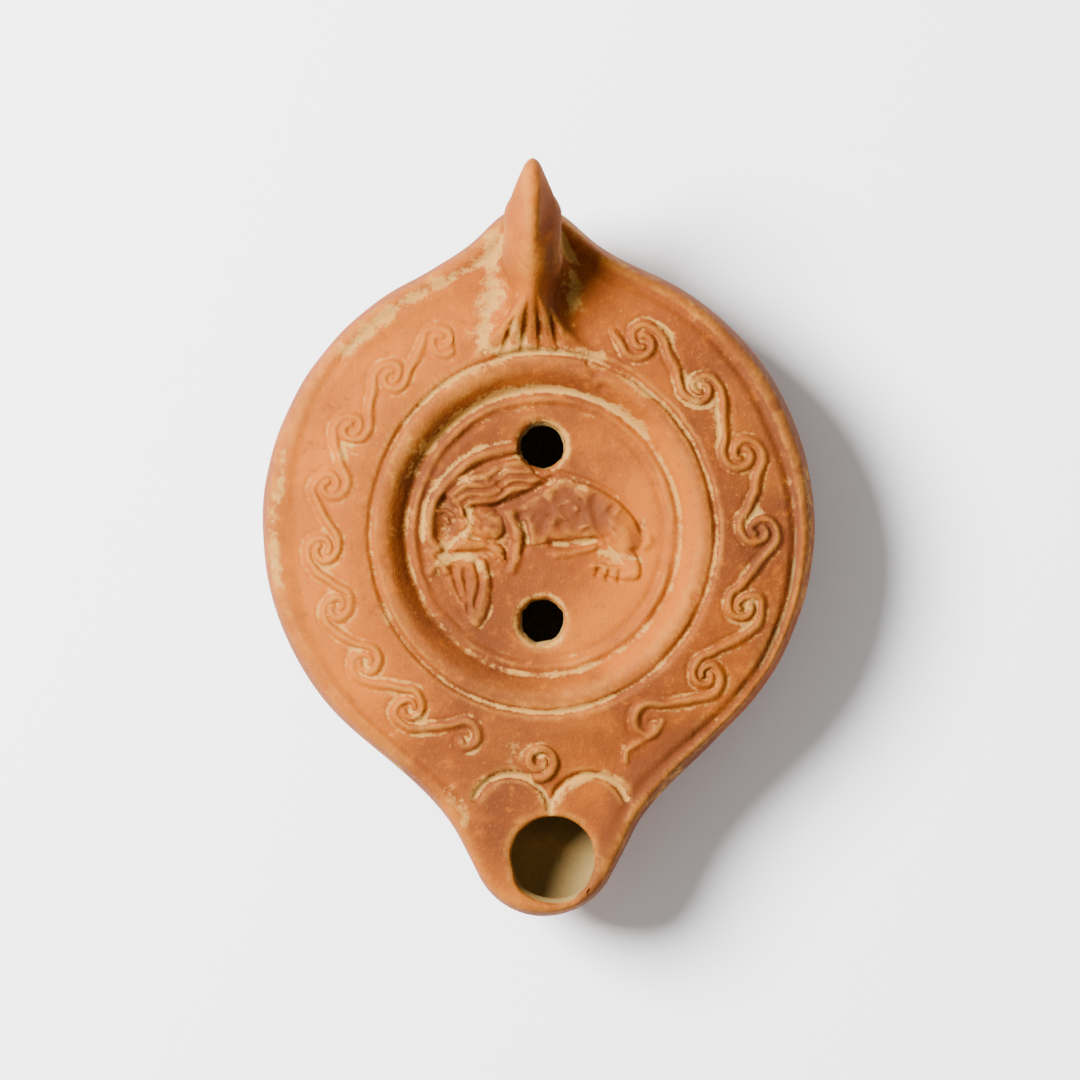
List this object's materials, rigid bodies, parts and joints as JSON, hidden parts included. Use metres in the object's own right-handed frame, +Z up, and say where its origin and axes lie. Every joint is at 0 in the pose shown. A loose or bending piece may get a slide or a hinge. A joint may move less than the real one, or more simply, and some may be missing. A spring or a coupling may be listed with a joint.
{
  "type": "roman oil lamp",
  "caption": "Hollow mould-made clay oil lamp: round body, sunk disc with a worn relief of a beast over its prey, scroll border, heart-shaped nozzle, pierced upright handle",
  "frame": {"origin": "centre of the flat underside, which is also below the centre of the sunk disc; Z = 0 is the surface the lamp stands on", "axes": "+Z is up, +Y runs to the handle, -Y to the nozzle, and +X is to the right of a viewer who looks down on the lamp with the handle at the top"},
  "size_m": [0.088, 0.1201, 0.0459],
  "materials": {
    "terracotta": "matte fired clay with a worn orange-red slip"
  },
  "bodies": {
    "root": {"clay_lamp": "terracotta"}
  },
  "joints": []
}
